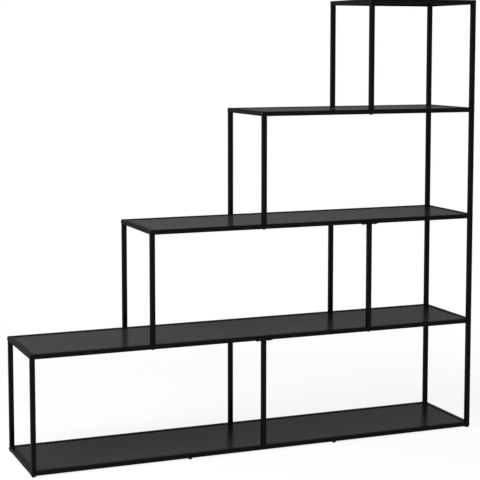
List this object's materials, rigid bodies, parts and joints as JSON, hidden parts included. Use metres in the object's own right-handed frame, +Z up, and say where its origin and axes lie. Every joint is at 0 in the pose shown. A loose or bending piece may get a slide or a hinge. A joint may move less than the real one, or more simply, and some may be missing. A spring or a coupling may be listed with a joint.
{
  "type": "ladder bookcase",
  "caption": "Free-standing stepped bookcase of slim square steel tube with inset sheet-steel shelves, for books and display, on levelling feet.",
  "frame": {"origin": "on the floor, under the middle of the bookcase's width and depth", "axes": "+X to the right seen from the front, towards the tall side; +Y towards the back; +Z up"},
  "size_m": [1.6696, 0.33, 1.581],
  "materials": {
    "tube_powder_coat": "satin black powder coat",
    "panel_powder_coat": "fine-textured black powder coat",
    "black_bolt_steel": "black-oxide steel",
    "zinc_plated_steel": "bright zinc plate",
    "foot_nylon": "moulded black nylon"
  },
  "bodies": {
    "frame": {"corner_glides": "foot_nylon", "first_step_front_post": "tube_powder_coat", "first_step_rail": "tube_powder_coat", "first_step_rear_post": "tube_powder_coat", "flange_screw_bushes": "zinc_plated_steel", "flange_screws": "black_bolt_steel", "foot_bushes": "zinc_plated_steel", "left_front_post": "tube_powder_coat", "left_rail_1": "tube_powder_coat", "left_rail_2": "tube_powder_coat", "left_rear_post": "tube_powder_coat", "left_side_bolts": "black_bolt_steel", "lower_middle_front_post": "tube_powder_coat", "lower_middle_rear_post": "tube_powder_coat", "middle_post_flanges": "tube_powder_coat", "post_bolts": "black_bolt_steel", "post_end_plugs": "zinc_plated_steel", "rail_end_plugs": "zinc_plated_steel", "recessed_post_bolts": "black_bolt_steel", "right_front_post": "tube_powder_coat", "right_rail_1": "tube_powder_coat", "right_rail_2": "tube_powder_coat", "right_rail_3": "tube_powder_coat", "right_rail_4": "tube_powder_coat", "right_rail_5": "tube_powder_coat", "right_rear_post": "tube_powder_coat", "right_side_bolts": "black_bolt_steel", "second_step_front_post": "tube_powder_coat", "second_step_rail": "tube_powder_coat", "second_step_rear_post": "tube_powder_coat", "shelf_1_front_rail": "tube_powder_coat", "shelf_1_panel": "panel_powder_coat", "shelf_1_rear_rail": "tube_powder_coat", "shelf_2_front_rail": "tube_powder_coat", "shelf_2_panel": "panel_powder_coat", "shelf_2_rear_rail": "tube_powder_coat", "shelf_3_front_rail": "tube_powder_coat", "shelf_3_panel": "panel_powder_coat", "shelf_3_rear_rail": "tube_powder_coat", "shelf_4_front_rail": "tube_powder_coat", "shelf_4_panel": "panel_powder_coat", "shelf_4_rear_rail": "tube_powder_coat", "shelf_5_front_rail": "tube_powder_coat", "shelf_5_panel": "panel_powder_coat", "shelf_5_rear_rail": "tube_powder_coat", "third_step_front_post": "tube_powder_coat", "third_step_rail": "tube_powder_coat", "third_step_rear_post": "tube_powder_coat", "upper_middle_front_post": "tube_powder_coat", "upper_middle_rear_post": "tube_powder_coat"},
    "levelling_foot_front_left": {"levelling_foot_front_left": "foot_nylon"},
    "levelling_foot_front_right": {"levelling_foot_front_right": "foot_nylon"},
    "levelling_foot_rear_left": {"levelling_foot_rear_left": "foot_nylon"},
    "levelling_foot_rear_right": {"levelling_foot_rear_right": "foot_nylon"}
  },
  "joints": [
    {"name": "levelling_foot_front_left_height", "type": "slide", "parent": "frame", "child": "levelling_foot_front_left", "axis": [0, 0, -1], "range_m": [0, 0.008]},
    {"name": "levelling_foot_front_right_height", "type": "slide", "parent": "frame", "child": "levelling_foot_front_right", "axis": [0, 0, -1], "range_m": [0, 0.008]},
    {"name": "levelling_foot_rear_left_height", "type": "slide", "parent": "frame", "child": "levelling_foot_rear_left", "axis": [0, 0, -1], "range_m": [0, 0.008]},
    {"name": "levelling_foot_rear_right_height", "type": "slide", "parent": "frame", "child": "levelling_foot_rear_right", "axis": [0, 0, -1], "range_m": [0, 0.008]}
  ]
}
